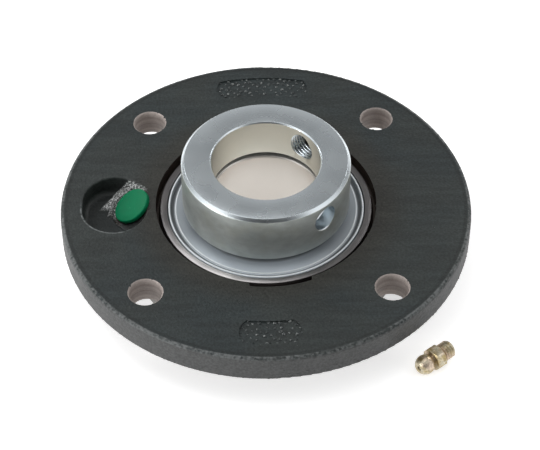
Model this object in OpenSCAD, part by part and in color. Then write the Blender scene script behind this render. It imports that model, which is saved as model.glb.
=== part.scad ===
// Round flange bearing unit. A cast flange with a rear spigot holds a ball bearing insert in a
// spherical seat. An eccentric collar with one set screw locks the inner ring to the shaft.
// A plug closes the lubrication hole, and the grease nipple that replaces it lies beside the flange.
// The origin is on the shaft axis in the mounting face, with +Z towards the collar.

/* [Flange] */
// Outer diameter of the flange
flange_d = 135; // [128:1:152]
// Thickness of the flange at the bolt holes
flange_t = 9.6; // [8.6:0.1:14]
// Rounding of the upper rim
flange_top_r = 1.2; // [0.4:0.1:2.6]
// Rounding of the lower rim
flange_foot_r = 0.7; // [0.3:0.1:1.8]
// Wall of the centring spigot around the bearing
spigot_wall = 9; // [7:0.5:12]
// How far the spigot reaches past the back of the bearing
spigot_cover = 1.9; // [1.9:0.1:5]
// Chamfer at the end of the spigot
spigot_chamfer = 0.9; // [0.4:0.1:1.8]

/* [Bolt holes] */
// Distance from the centre of a bolt hole to the flange's rim
bolt_rim = 12.5; // [10:0.5:14]
// Diameter of a bolt hole
bolt_hole_d = 10.5; // [8:0.5:12]
// Number of bolt holes
bolt_count = 4; // [4:2:8]
// Broken edge at both ends of a bolt hole
bolt_edge = 0.4; // [0.2:0.1:0.9]

/* [Cast pads] */
// Depth of the bare recessed pads on the front of the flange
pad_depth = 0.5; // [0.3:0.1:1]
// Distance from the pads to the flange's rim
pad_rim = 6.5; // [4.5:0.5:8]
// Width of the pads, measured along the radius
pad_w = 9; // [6:0.5:10.5]
// Radius of the pads' rounded ends
pad_end_r = 6; // [5.6:0.1:8]
// Angle that the far pad spans
far_pad_span = 32; // [20:1:40]
// Angle that the near pad spans
near_pad_span = 20; // [14:1:30]

/* [Bearing] */
// Outer diameter of the spherical outer ring
bearing_d = 72; // [69:0.5:75]
// Shaft diameter
bore_d = 35; // [31:0.5:36.5]
// Width of the outer ring
ring_w = 19; // [18:0.5:20.5]
// Depth of the outer ring's face below the flange's front
ring_recess = 1.6; // [0.9:0.1:2.2]
// Ball diameter
ball_d = 11.112; // [9.8:0.1:11.5]
// Number of balls
ball_count = 9; // [6:1:10]
// Depth of the ball grooves in both rings
groove_depth = 1.5; // [1.2:0.1:1.8]
// Gap between a ball and its grooves
ball_play = 0.1; // [0.05:0.01:0.2]
// Edge break of the rings
ring_edge = 0.4; // [0.2:0.1:0.5]
// Width of the lubrication groove around the outer ring
oil_groove_w = 2.1; // [1.3:0.1:2.6]
// Depth of the lubrication groove
oil_groove_depth = 0.5; // [0.3:0.1:0.9]
// Diameter of the two lubrication holes through the outer ring
oil_hole_d = 1.7; // [0.9:0.1:2.1]

/* [Bearing seat] */
// Gap between the outer ring and its spherical seat
seat_play = 0.1; // [0.05:0.01:0.2]
// Wider gap around the outer ring at the front of the flange
relief_gap = 0.3; // [0.2:0.1:1.6]
// Depth of that wider gap below the outer ring's face
relief_depth = 3; // [1.8:0.1:4.3]
// Radial lip that closes the seat at the back
rear_lip = 0.8; // [0.4:0.1:1]
// How much wider than the outer ring the two loading slots are
slot_play = 1; // [0.5:0.5:4]
// How far the loading slots reach past the seat
slot_reach = 1.6; // [1.2:0.1:2.5]
// Angle of the first loading slot
slot_angle = -84; // [-110:1:-70]

/* [Cage] */
// Sheet thickness of the two cage halves
cage_t = 0.6; // [0.45:0.05:0.8]
// Width of the cage ribbon, measured along the radius
cage_w = 4; // [3.2:0.1:4.4]
// Gap between the cage and the balls and rivets in it
cage_play = 0.12; // [0.08:0.01:0.18]
// Diameter of a cage rivet
rivet_d = 1.4; // [0.9:0.1:1.8]
// Height of a rivet head
rivet_head_h = 0.4; // [0.3:0.1:0.7]

/* [Seals] */
// Wall of the outer ring around a seal
seal_wall = 2.2; // [1.4:0.1:2.4]
// Gap between a seal and the outer ring's wall
seal_play = 0.1; // [0.05:0.01:0.15]
// Sheet thickness of the outer washer
washer_t = 0.45; // [0.35:0.05:0.55]
// Depth of the outer washer's flat below the ring's face
washer_inset = 0.7; // [0.6:0.05:1.05]
// Width of the rolled rim of the outer washer
bead_w = 1; // [0.9:0.1:1.2]
// Width of the valley inside that rim
valley_w = 1.4; // [0.7:0.1:1.6]
// Thickness of the rubber lip
lip_t = 0.55; // [0.5:0.05:0.7]
// Sheet thickness of the inner washer
backing_t = 0.35; // [0.3:0.05:0.45]
// Gap between the washers and the inner ring
washer_gap = 0.8; // [0.5:0.1:1.1]
// Gap between the lip's edge and the inner ring
lip_gap = 0.1; // [0.07:0.01:0.18]

/* [Locking collar] */
// Outer diameter of the collar
collar_d = 54.8; // [52:0.2:59]
// Height of the collar
collar_h = 17.7; // [16.5:0.1:21]
// Height of the collar above the outer ring's face
collar_lift = 2.9; // [1.8:0.1:3.5]
// Chamfer on the collar's front rim
collar_chamfer = 1; // [0.3:0.1:1.3]
// Chamfer on the collar's bore
collar_bore_chamfer = 0.4; // [0.2:0.1:0.9]
// Gap between the collar's bore and the shaft
collar_play = 0.15; // [0.05:0.05:0.4]
// How far the inner ring reaches past the outer ring's face
ring_reach = 5.2; // [4.8:0.1:7]
// Height of the cam on the inner ring
cam_h = 3.7; // [3.1:0.1:4.4]
// Offset of the cam from the shaft axis
cam_offset = 0.7; // [0.45:0.05:0.9]
// Direction of that offset around the shaft
cam_angle = 120; // [0:5:180]
// Gap between the cam and the collar's recess
cam_play = 0.35; // [0.25:0.05:0.45]
// Gap between the end of the inner ring and the collar's recess
cam_end_gap = 1.9; // [0.7:0.1:2.1]

/* [Set screw] */
// Thread diameter of the set screw
screw_d = 8.5; // [5:0.5:10.5]
// Length of the set screw
screw_l = 7; // [6:0.5:9]
// Gap between the set screw and its hole
screw_play = 0.1; // [0.05:0.01:0.15]
// Angle of the set screw around the shaft
screw_angle = 46; // [30:1:60]
// How far the set screw stands out of the collar
screw_proud = 1.6; // [0:0.1:2.6]
// Size of the hexagon socket across its flats
socket_af = 4; // [2:0.5:5]
// Depth of the hexagon socket
socket_depth = 3.8; // [2.6:0.1:4.4]
// Diameter of the blind spanner hole
spanner_d = 8.8; // [5.2:0.2:10.4]
// Depth of the blind spanner hole
spanner_depth = 4.5; // [3.4:0.1:5.2]
// Angle of the spanner hole around the shaft
spanner_angle = -47.5; // [-60:0.5:-30]

/* [Lubrication pocket] */
// Land between the pocket and the bearing seat
pocket_land = 2.2; // [1.2:0.1:3.4]
// Radius of the pocket's wall
pocket_r = 10.6; // [8.8:0.1:11]
// Half length by which the pocket is stretched across the radius
pocket_stretch = 1.9; // [0.5:0.1:2.6]
// Depth of the pocket
pocket_depth = 6.5; // [5.2:0.1:7.4]
// Rounding of the pocket's rim
pocket_rim_r = 0.6; // [0.5:0.1:1.4]
// Rounding between the pocket's wall and its floor
pocket_floor_r = 2.1; // [0.9:0.1:2.6]
// Height of the sloping cast floor's ridge above the plug's seat
ramp_lift = 2; // [1.3:0.1:3]
// Fall of that floor from its ridge towards -Y
near_fall = 25; // [5:1:30]
// Fall of that floor from its ridge towards +Y
far_fall = 10; // [5:1:30]
// Diameter of the lubrication hole
lube_hole_d = 6.1; // [4.4:0.1:7]
// Distance from the plug's seat to the gap around the outer ring
plug_land = 7.6; // [7.2:0.1:8.8]
// Depth of the plug's seat below the flange's front
plug_drop = 3.4; // [2.6:0.1:4]
// Angle between the pocket and the lubrication hole
lube_skew = -2.4; // [-5:0.1:5]
// Turn of the lubrication hole about the vertical at the plug's seat
lube_turn = 10; // [-12:1:12]

/* [Plug] */
// Diameter of the plug's head
plug_head_d = 12.9; // [9.6:0.1:13.2]
// Thickness of the plug's head
plug_head_t = 1.5; // [0.9:0.1:2.2]
// Rounding of the head's rim
plug_edge_r = 0.4; // [0.2:0.1:0.7]
// Gap between the plug's head and the wall of its spot face
spot_play = 1.5; // [0.4:0.1:1.8]
// Length of the plug's stem
plug_stem_l = 7; // [4.5:0.5:9]
// Gap between the plug's stem and the hole
plug_play = 0.2; // [0.15:0.05:0.35]
// Number of sealing ribs on the stem
plug_ribs = 3; // [2:1:4]

/* [Grease nipple] */
// Gap between the nipple's thread and the lubrication hole
nipple_thread_play = 0.05; // [0.03:0.005:0.09]
// Length of the thread
nipple_thread_l = 4.7; // [3.5:0.1:7]
// Hexagon of the nipple across its flats
nipple_af = 7.2; // [6.5:0.1:8.7]
// Width of the hexagon
nipple_hex_w = 3.4; // [2.2:0.1:4.4]
// Diameter of the round head
nipple_head_d = 6.5; // [5.6:0.1:7]
// Diameter of the neck behind the head
nipple_neck_d = 4.5; // [3.7:0.1:4.7]
// Distance from the head's centre to the hexagon
nipple_neck_l = 2.7; // [2.6:0.1:4.4]
// Distance from the head's centre to the flat tip
nipple_tip_l = 2.6; // [2.1:0.05:2.75]
// Diameter of the mouth
nipple_mouth_d = 1.5; // [1:0.1:1.7]
// Depth of the mouth
nipple_mouth_l = 0.7; // [0.4:0.1:1]
// Diameter of the channel behind the mouth
nipple_channel_d = 2.5; // [2.3:0.1:2.8]
// Width of the rim that closes the end of the channel
nipple_crimp = 0.4; // [0.3:0.05:0.5]
// Gap between the check ball or its spring and the channel
check_play = 0.2; // [0.1:0.05:0.25]
// Wire diameter of the check spring
spring_wire_d = 0.32; // [0.22:0.01:0.4]
// Number of turns of the check spring
spring_turns = 7; // [4:1:9]
// Distance from the head's centre to the flange's rim, where the nipple lies
nipple_rim_gap = 6.2; // [4.4:0.1:17]

/* [Hidden] */
$fn = 96;
cut = 1; // how far a cutting shape runs past a face

// Heights of the flange, the bearing and the surface that the spigot stands on
ring_face_z = flange_t - ring_recess;
ring_back_z = ring_face_z - ring_w;
seat_z = ring_face_z - ring_w / 2;
floor_z = ring_back_z - spigot_cover;

// Radii of the bearing and its seat
bore_r = bore_d / 2;
pitch_r = (bearing_d + bore_d) / 4;
ball_r = ball_d / 2;
groove_r = ball_r + ball_play;
land_gap = groove_r - groove_depth;
outer_land_r = pitch_r + land_gap;
inner_land_r = pitch_r - land_gap;
seat_r = bearing_d / 2 + seat_play;
relief_r = bearing_d / 2 + relief_gap;
spigot_r = bearing_d / 2 + spigot_wall;

// Seals, stacked from the outer ring's face inwards
ring_face_r = sqrt(pow(bearing_d / 2, 2) - pow(ring_w / 2, 2));
seal_r = ring_face_r - seal_wall;
washer_r = seal_r - seal_play;
washer_flat_r = washer_r - bead_w - valley_w;
washer_inner_r = inner_land_r + washer_gap;
washer_flat_z = ring_face_z - washer_inset;
lip_z = washer_flat_z - washer_t;
backing_z = lip_z - lip_t;
seal_floor_z = backing_z - backing_t;

// Locking collar, cam and the holes in the collar
ring_end_z = ring_face_z + ring_reach;
cam_r = inner_land_r - cam_offset - ring_edge / 4;
collar_r = collar_d / 2;
collar_z = ring_face_z + collar_lift;
collar_top_z = collar_z + collar_h;
collar_bore_r = bore_r + collar_play;
recess_r = cam_r + cam_play;
recess_top_z = ring_end_z + cam_end_gap;
screw_z = (recess_top_z + collar_top_z) / 2;
drill_angle = 59; // half the point angle of a twist drill

// Lubrication passage, from the plug's seat to the groove around the outer ring
pocket_angle = 180;
pocket_centre_r = relief_r + pocket_land + pocket_rim_r + pocket_r;
pocket_floor_z = flange_t - pocket_depth;
groove_half_w = sqrt(pow(groove_r, 2) - pow(land_gap, 2));
oil_groove_z = (seat_z - groove_half_w + 2 * seat_z - seal_floor_z) / 2;
lube_exit_r = sqrt(pow(seat_r, 2) - pow(seat_z - oil_groove_z, 2));
plug_seat_r = relief_r + plug_land;
plug_seat_z = flange_t - plug_drop;
lube_tilt = atan2(plug_seat_z - oil_groove_z, plug_seat_r - lube_exit_r);
lube_l = norm([plug_seat_r - lube_exit_r, plug_seat_z - oil_groove_z]) + cut;
spot_r = plug_head_d / 2 + spot_play;

// Grease nipple: lengths are measured along it from the centre of its round head
nipple_place_r = flange_d / 2 + nipple_rim_gap;
nipple_place_angle = -48.4;
nipple_turn = 38.2;
nipple_thread_d = lube_hole_d - 2 * nipple_thread_play;
nipple_thread_x = nipple_neck_l + nipple_hex_w;
nipple_end_x = nipple_thread_x + nipple_thread_l;
channel_x = nipple_mouth_l - nipple_tip_l;
crimp_x = nipple_end_x - nipple_crimp;
check_ball_r = nipple_channel_d / 2 - check_play;
check_ball_gap = 0.05;
check_ball_x = channel_x + check_ball_gap + sqrt(pow(check_ball_r, 2) - pow(nipple_mouth_d / 2, 2));
coil_r = nipple_channel_d / 2 - check_play / 2 - spring_wire_d / 2;
spring_touch_r = check_ball_r + spring_wire_d / 2 + check_ball_gap;
spring_start_x = check_ball_x + sqrt(pow(spring_touch_r, 2) - pow(coil_r, 2));
spring_end_x = crimp_x - spring_wire_d / 2 - check_ball_gap;
spring_sides = 8;
spring_rings = 16 * spring_turns;

painted_iron = "#34383b";
ring_steel = "#8b8784";
zinc = "#a9b1b6";
bright_steel = "#c4c8cc";
rubber = "#1c1c1d";
green_plastic = "#087a4a";
brass = "#b9a36a";

// Tube around the shaft axis between two heights
module tube(inner_r, outer_r, low, high) {
    rotate_extrude() translate([inner_r, low]) square([outer_r - inner_r, high - low]);
}

// Copies of the children around the shaft axis
module around(count, start = 0) {
    for (i = [0:count - 1]) rotate(start + i * 360 / count) children();
}

// Mirrors the front half of the bearing to its back
module at_rear() {
    translate([0, 0, 2 * seat_z]) mirror([0, 0, 1]) children();
}

// Moves the children to the plug's seat, with their +Z along the plug towards the outside
module at_plug_seat() {
    rotate(pocket_angle + lube_skew) translate([plug_seat_r, 0, plug_seat_z])
        rotate([0, 90 - lube_tilt, lube_turn]) children();
}

// Moves the children from the shaft axis along a radius, with their +Z outwards
module along_radius(angle, r, z) {
    rotate(angle) translate([r, 0, z]) rotate([0, 90, 0]) children();
}

// Moves the children to the nipple's round head, with their +Z along it towards the thread
module along_nipple() {
    rotate(nipple_place_angle) translate([nipple_place_r, 0, floor_z + nipple_af / 2])
        rotate(nipple_turn - nipple_place_angle) rotate([0, 90, 0]) children();
}

// Disc with a rounded upper and lower rim
module rounded_disc(r, h, top_r, foot_r) {
    rotate_extrude() {
        square([r - max(top_r, foot_r), h]);
        translate([0, foot_r]) square([r, h - top_r - foot_r]);
        translate([r - top_r, h - top_r]) circle(top_r);
        translate([r - foot_r, foot_r]) circle(foot_r);
    }
}

// Bolt hole with broken edges at both faces
module bolt_hole() {
    r = bolt_hole_d / 2;
    translate([flange_d / 2 - bolt_rim, 0, 0]) {
        translate([0, 0, -cut]) cylinder(r = r, h = flange_t + 2 * cut);
        translate([0, 0, flange_t - bolt_edge]) cylinder(r1 = r, r2 = r + 2 * bolt_edge, h = 2 * bolt_edge);
        translate([0, 0, -bolt_edge]) cylinder(r1 = r + 2 * bolt_edge, r2 = r, h = 2 * bolt_edge);
    }
}

// Recessed pad with rounded ends near the flange's rim, centred on an angle
module pad_recess(angle, span) {
    outer_r = flange_d / 2 - pad_rim;
    mid_r = outer_r - pad_w / 2;
    end_angle = span / 2 - asin(pad_end_r / mid_r);
    translate([0, 0, flange_t - pad_depth]) rotate(angle) intersection() {
        tube(outer_r - pad_w, outer_r, 0, pad_depth + cut);
        union() {
            rotate(-end_angle) rotate_extrude(angle = 2 * end_angle)
                translate([outer_r - 2 * pad_w, 0]) square([3 * pad_w, pad_depth + cut]);
            for (side = [-1, 1]) rotate(side * end_angle) translate([mid_r, 0, 0])
                cylinder(r = pad_end_r, h = pad_depth + cut);
        }
    }
}

// Round hollow with a rounded floor and a flared rim
module pocket_bowl() {
    wall_h = pocket_depth - pocket_floor_r;
    translate([0, 0, pocket_floor_z]) rotate_extrude() {
        square([pocket_r - pocket_floor_r, pocket_depth + cut]);
        translate([0, pocket_floor_r]) square([pocket_r, wall_h + cut]);
        translate([pocket_r - pocket_floor_r, pocket_floor_r]) circle(pocket_floor_r);
        difference() {
            translate([pocket_r - cut, pocket_depth - pocket_rim_r]) square([pocket_rim_r + cut, pocket_rim_r + cut]);
            translate([pocket_r + pocket_rim_r, pocket_depth - pocket_rim_r]) circle(pocket_rim_r);
        }
    }
}

// Cast pocket with a sloping floor that falls to both sides, the spot face under the plug and the drilled passage
module lubrication_pocket() {
    reach = flange_d / 2;
    intersection() {
        rotate(pocket_angle) for (side = [-1:1])
            translate([pocket_centre_r, side * pocket_stretch, 0]) pocket_bowl();
        at_plug_seat() translate([0, 0, ramp_lift]) for (fall = [-near_fall, far_fall]) rotate([fall, 0, 0])
            translate([-reach, -reach, 0]) cube([2 * reach, 2 * reach, reach]);
    }
    at_plug_seat() {
        cylinder(r = spot_r, h = spot_r + plug_drop);
        translate([0, 0, -lube_l]) cylinder(d = lube_hole_d, h = lube_l + cut);
    }
}

// Spherical seat with the wider gap in front, the bore behind and the two loading slots
module bearing_seat() {
    slot_r = seat_r + slot_reach;
    slot_w = ring_w + slot_play;
    translate([0, 0, seat_z]) sphere(seat_r, $fn = 2 * $fn);
    translate([0, 0, ring_face_z - relief_depth]) cylinder(r = relief_r, h = relief_depth + ring_recess + cut);
    translate([0, 0, floor_z - cut]) cylinder(r = seat_r - rear_lip, h = seat_z - floor_z + cut);
    translate([0, 0, seat_z]) intersection() {
        cylinder(r = slot_r, h = ring_w);
        rotate(slot_angle) translate([-slot_r, -slot_w / 2, 0]) cube([2 * slot_r, slot_w, ring_w]);
    }
}

module flange_housing() {
    spigot_h = -floor_z;
    color(painted_iron) difference() {
        union() {
            rounded_disc(flange_d / 2, flange_t, flange_top_r, flange_foot_r);
            translate([0, 0, floor_z + spigot_chamfer]) cylinder(r = spigot_r, h = spigot_h - spigot_chamfer + cut);
            translate([0, 0, floor_z]) cylinder(r1 = spigot_r - spigot_chamfer, r2 = spigot_r, h = spigot_chamfer);
        }
        bearing_seat();
        around(bolt_count, 180 / bolt_count) bolt_hole();
        lubrication_pocket();
        pad_recess(90, far_pad_span);
        pad_recess(-90, near_pad_span);
    }
}

module outer_ring() {
    color(ring_steel) difference() {
        intersection() {
            translate([0, 0, seat_z]) sphere(bearing_d / 2, $fn = 2 * $fn);
            translate([0, 0, ring_back_z]) cylinder(r = bearing_d, h = ring_w);
        }
        translate([0, 0, ring_back_z - cut]) cylinder(r = outer_land_r, h = ring_w + 2 * cut);
        translate([0, 0, seat_z]) rotate_extrude() translate([pitch_r, 0]) circle(groove_r);
        for (rear = [0, 1]) translate([0, 0, rear * 2 * seat_z]) mirror([0, 0, rear]) {
            translate([0, 0, seal_floor_z]) cylinder(r = seal_r, h = ring_w);
            translate([0, 0, ring_face_z - ring_edge / 2])
                cylinder(r1 = seal_r, r2 = seal_r + ring_edge, h = ring_edge);
        }
        translate([0, 0, oil_groove_z]) {
            tube(lube_exit_r - oil_groove_depth, bearing_d, -oil_groove_w / 2, oil_groove_w / 2);
            rotate([0, 90, 0]) cylinder(d = oil_hole_d, h = 2 * bearing_d, center = true);
        }
    }
}

module inner_ring() {
    neck_z = ring_end_z - cam_h;
    color(ring_steel) difference() {
        union() {
            rotate_extrude() polygon([
                [0, ring_back_z], [inner_land_r - ring_edge, ring_back_z], [inner_land_r, ring_back_z + ring_edge],
                [inner_land_r, neck_z - ring_edge], [inner_land_r - ring_edge, neck_z], [0, neck_z]]);
            rotate(cam_angle) translate([cam_offset, 0, neck_z - cut]) rotate_extrude() polygon([
                [0, 0], [cam_r, 0], [cam_r, cam_h + cut - ring_edge],
                [cam_r - ring_edge, cam_h + cut], [0, cam_h + cut]]);
        }
        translate([0, 0, ring_back_z - cut]) cylinder(r = bore_r, h = ring_end_z - ring_back_z + 2 * cut);
        translate([0, 0, ring_back_z - ring_edge])
            cylinder(r1 = bore_r + 2 * ring_edge, r2 = bore_r, h = 2 * ring_edge);
        translate([0, 0, ring_end_z - ring_edge])
            cylinder(r1 = bore_r, r2 = bore_r + 2 * ring_edge, h = 2 * ring_edge);
        translate([0, 0, seat_z]) rotate_extrude() translate([pitch_r, 0]) circle(groove_r);
    }
}

module ball(index) {
    color(bright_steel) rotate((index - 1) * 360 / ball_count) translate([pitch_r, 0, seat_z]) sphere(ball_r);
}

// Half of the riveted cage: a flat ribbon pressed into a round pocket over each ball
module cage_half() {
    hollow_r = ball_r + cage_play;
    difference() {
        intersection() {
            tube(pitch_r - cage_w / 2, pitch_r + cage_w / 2, 0, 2 * hollow_r);
            union() {
                cylinder(r = pitch_r + cage_w, h = cage_t);
                around(ball_count) translate([pitch_r, 0, 0]) sphere(hollow_r + cage_t);
            }
        }
        around(ball_count) translate([pitch_r, 0, 0]) sphere(hollow_r);
        around(ball_count, 180 / ball_count) translate([pitch_r, 0, -cut])
            cylinder(d = rivet_d + cage_play, h = cage_t + 2 * cut);
    }
}

module cage_front_half() {
    color(bright_steel) translate([0, 0, seat_z]) cage_half();
}

module cage_rear_half() {
    color(bright_steel) translate([0, 0, seat_z]) mirror([0, 0, 1]) cage_half();
}

module cage_rivets() {
    color(bright_steel) translate([0, 0, seat_z]) around(ball_count, 180 / ball_count)
        translate([pitch_r, 0, 0]) {
            translate([0, 0, -cage_t]) cylinder(d = rivet_d, h = 2 * cage_t);
            for (rear = [0, 1]) mirror([0, 0, rear]) translate([0, 0, cage_t])
                cylinder(d1 = 1.8 * rivet_d, d2 = 1.2 * rivet_d, h = rivet_head_h);
        }
}

// Pressed outer washer: a flat, a valley around it and a rolled rim
module seal_washer() {
    bead_r = bead_w / 2;
    color(zinc) rotate_extrude() {
        translate([washer_inner_r, lip_z]) square([washer_flat_r - washer_inner_r, washer_t]);
        translate([washer_flat_r - washer_t, lip_z - washer_t]) square([washer_t, 2 * washer_t]);
        translate([washer_flat_r - washer_t, lip_z - washer_t]) square([valley_w + washer_t + bead_r, washer_t]);
        translate([washer_r - bead_w, lip_z - washer_t]) square([bead_w, washer_inset + 2 * washer_t - bead_r]);
        translate([washer_r - bead_r, ring_face_z - bead_r]) circle(bead_r);
    }
}

// Rubber lip between the washers, with an edge that runs on the inner ring
module seal_lip() {
    edge_r = inner_land_r + lip_gap;
    outer_r = washer_flat_r - washer_t - seal_play;
    color(rubber) rotate_extrude() polygon([
        [edge_r, washer_flat_z], [edge_r + lip_gap, washer_flat_z], [washer_inner_r - lip_gap, lip_z],
        [outer_r, lip_z], [outer_r, backing_z], [edge_r + washer_gap / 2, backing_z]]);
}

// Flat inner washer that backs the lip and rests on the outer ring's shoulder
module seal_backing() {
    color(zinc) tube(washer_inner_r, washer_r, seal_floor_z, backing_z);
}

module front_seal_washer() { seal_washer(); }
module front_seal_lip() { seal_lip(); }
module front_seal_backing() { seal_backing(); }
module rear_seal_washer() { at_rear() seal_washer(); }
module rear_seal_lip() { at_rear() seal_lip(); }
module rear_seal_backing() { at_rear() seal_backing(); }

module locking_collar() {
    cone_h = spanner_d / 2 / tan(drill_angle);
    color(zinc) difference() {
        translate([0, 0, collar_z]) rotate_extrude() polygon([
            [0, 0], [collar_r - ring_edge, 0], [collar_r, ring_edge], [collar_r, collar_h - collar_chamfer],
            [collar_r - collar_chamfer, collar_h], [0, collar_h]]);
        translate([0, 0, collar_z - cut]) cylinder(r = collar_bore_r, h = collar_h + 2 * cut);
        translate([0, 0, collar_top_z - collar_bore_chamfer])
            cylinder(r1 = collar_bore_r, r2 = collar_bore_r + 2 * collar_bore_chamfer, h = 2 * collar_bore_chamfer);
        rotate(cam_angle) translate([cam_offset, 0, collar_z - cut])
            cylinder(r = recess_r, h = recess_top_z - collar_z + cut);
        along_radius(screw_angle, 0, screw_z) cylinder(r = screw_d / 2 + screw_play, h = collar_d);
        along_radius(spanner_angle, collar_r - spanner_depth, screw_z) {
            cylinder(d = spanner_d, h = collar_d);
            translate([0, 0, -cone_h]) cylinder(d1 = 0, d2 = spanner_d, h = cone_h);
        }
    }
}

// Set screw with a cup point towards the shaft and a hexagon socket outside
module set_screw() {
    r = screw_d / 2;
    edge = screw_d / 12;
    cup_r = screw_d / 4;
    color(ring_steel) along_radius(screw_angle, collar_r + screw_proud - screw_l, screw_z) difference() {
        rotate_extrude() polygon([
            [0, cup_r / 2], [cup_r, 0], [r - 2 * edge, 0], [r, 2 * edge],
            [r, screw_l - edge], [r - edge, screw_l], [0, screw_l]]);
        translate([0, 0, screw_l - socket_depth]) cylinder(d = socket_af / cos(30), h = screw_l, $fn = 6);
    }
}

// Push-in plug with a flat head and a ribbed stem
module lube_plug() {
    head_r = plug_head_d / 2;
    stem_r = lube_hole_d / 2 - plug_play;
    rib_r = lube_hole_d / 2 - plug_play / 3;
    rib_step = plug_stem_l / (plug_ribs + 2);
    color(green_plastic) at_plug_seat() union() {
        rotate_extrude() {
            square([head_r - plug_edge_r, plug_head_t]);
            square([head_r, plug_head_t - plug_edge_r]);
            translate([head_r - plug_edge_r, plug_head_t - plug_edge_r]) circle(plug_edge_r);
        }
        translate([0, 0, -plug_stem_l]) cylinder(r = stem_r, h = plug_stem_l + plug_head_t / 2);
        for (i = [1:plug_ribs]) translate([0, 0, -i * rib_step])
            cylinder(r1 = stem_r - plug_play, r2 = rib_r, h = rib_step / 2);
    }
}

// Grease nipple with a round head for the grease gun, a hexagon and a thread
module nipple_body() {
    neck_r = nipple_neck_d / 2;
    thread_r = nipple_thread_d / 2;
    thread_edge = nipple_thread_d / 10;
    flat_r = nipple_af / 2;
    corner_r = flat_r / cos(30);
    hex_edge = corner_r - flat_r;
    color(brass) along_nipple() difference() {
        union() {
            intersection() {
                sphere(d = nipple_head_d);
                translate([0, 0, -nipple_tip_l]) cylinder(d = 2 * nipple_head_d, h = 2 * nipple_tip_l);
            }
            cylinder(r = neck_r, h = nipple_neck_l + cut);
            translate([0, 0, nipple_neck_l]) intersection() {
                rotate(30) cylinder(r = corner_r, h = nipple_hex_w, $fn = 6);
                rotate_extrude() polygon([
                    [0, 0], [flat_r - hex_edge / 2, 0], [corner_r + hex_edge, hex_edge],
                    [corner_r + hex_edge, nipple_hex_w - hex_edge], [flat_r - hex_edge / 2, nipple_hex_w],
                    [0, nipple_hex_w]]);
            }
            translate([0, 0, nipple_thread_x - cut]) rotate_extrude() polygon([
                [0, 0], [thread_r, 0], [thread_r, nipple_thread_l + cut - thread_edge],
                [thread_r - thread_edge, nipple_thread_l + cut], [0, nipple_thread_l + cut]]);
        }
        translate([0, 0, -nipple_head_d]) cylinder(d = nipple_mouth_d, h = 2 * nipple_head_d);
        translate([0, 0, channel_x]) cylinder(d = nipple_channel_d, h = crimp_x - channel_x);
        translate([0, 0, nipple_thread_x]) cylinder(d = nipple_channel_d - 2 * nipple_crimp, h = nipple_end_x);
    }
}

module nipple_check_ball() {
    color(bright_steel) along_nipple() translate([0, 0, check_ball_x]) sphere(check_ball_r);
}

// Ring of points around the spring's wire at one step of its helix
function spring_ring(i) =
    let (turn = 360 * spring_turns * i / spring_rings,
         out = [cos(turn), sin(turn), 0],
         centre = coil_r * out + [0, 0, spring_start_x + (spring_end_x - spring_start_x) * i / spring_rings])
    [for (k = [0:spring_sides - 1])
        let (a = 360 * k / spring_sides) centre + spring_wire_d / 2 * (cos(a) * out + [0, 0, sin(a)])];

module nipple_spring() {
    points = [for (i = [0:spring_rings]) each spring_ring(i)];
    last = spring_rings * spring_sides;
    walls = [for (i = [0:spring_rings - 1]) for (k = [0:spring_sides - 1])
        let (a = i * spring_sides + k, b = i * spring_sides + (k + 1) % spring_sides)
        [a, a + spring_sides, b + spring_sides, b]];
    ends = [[for (k = [0:spring_sides - 1]) k], [for (k = [spring_sides - 1:-1:0]) last + k]];
    color(bright_steel) along_nipple() polyhedron(points, concat(walls, ends), convexity = 10);
}

flange_housing();
outer_ring();
inner_ring();
for (i = [1:ball_count]) ball(i);
cage_front_half();
cage_rear_half();
cage_rivets();
front_seal_washer();
front_seal_lip();
front_seal_backing();
rear_seal_washer();
rear_seal_lip();
rear_seal_backing();
locking_collar();
set_screw();
lube_plug();
nipple_body();
nipple_check_ball();
nipple_spring();
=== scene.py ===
"""Flange bearing unit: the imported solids, dressed piece by piece in the order in which the unit is assembled."""
import math

import bmesh
import bpy
from mathutils import Matrix, Vector


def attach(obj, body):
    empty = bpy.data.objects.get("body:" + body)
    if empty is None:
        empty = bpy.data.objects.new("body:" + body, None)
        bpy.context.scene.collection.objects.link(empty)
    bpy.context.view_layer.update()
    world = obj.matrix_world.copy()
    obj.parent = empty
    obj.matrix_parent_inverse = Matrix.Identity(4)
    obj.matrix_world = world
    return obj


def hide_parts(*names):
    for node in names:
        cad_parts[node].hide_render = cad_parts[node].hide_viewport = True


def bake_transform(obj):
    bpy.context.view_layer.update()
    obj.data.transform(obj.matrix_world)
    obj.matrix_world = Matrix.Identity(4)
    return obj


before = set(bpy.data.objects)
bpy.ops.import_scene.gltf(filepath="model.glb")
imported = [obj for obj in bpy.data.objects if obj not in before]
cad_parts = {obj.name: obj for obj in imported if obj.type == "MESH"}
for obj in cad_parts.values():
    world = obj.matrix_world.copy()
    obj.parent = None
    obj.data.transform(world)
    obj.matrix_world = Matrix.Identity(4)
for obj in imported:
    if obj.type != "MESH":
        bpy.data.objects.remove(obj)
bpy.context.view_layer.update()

# Flange housing: a round grey-iron casting with a rear spigot, dipped in dark grey-green paint.
# Its bolt holes, the plug's spot face, the bearing seat and the whole back are cut after painting.
mm = 0.001
touching = 1e-6
flange_r, flange_top = 67.5 * mm, 9.6 * mm
bolt_place = 55 * mm * math.cos(math.radians(45))
bolt_r = 5.25 * mm
seat_mouth_r = 38 * mm
spot_r = 7.95 * mm
pocket_x, pocket_straight, pocket_r = -49.7 * mm, 1.9 * mm, 11.1 * mm
floor_lift = 2 * mm
far_fall = math.radians(10)
pad_floor = 9.1 * mm
plug_frame = (Matrix.Rotation(math.radians(177.6), 4, "Z") @ Matrix.Translation(Vector((43.9, 0, 6.2)) * mm)
              @ Matrix.Rotation(math.radians(10), 4, "Z") @ Matrix.Rotation(math.radians(31.709), 4, "Y"))


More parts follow.
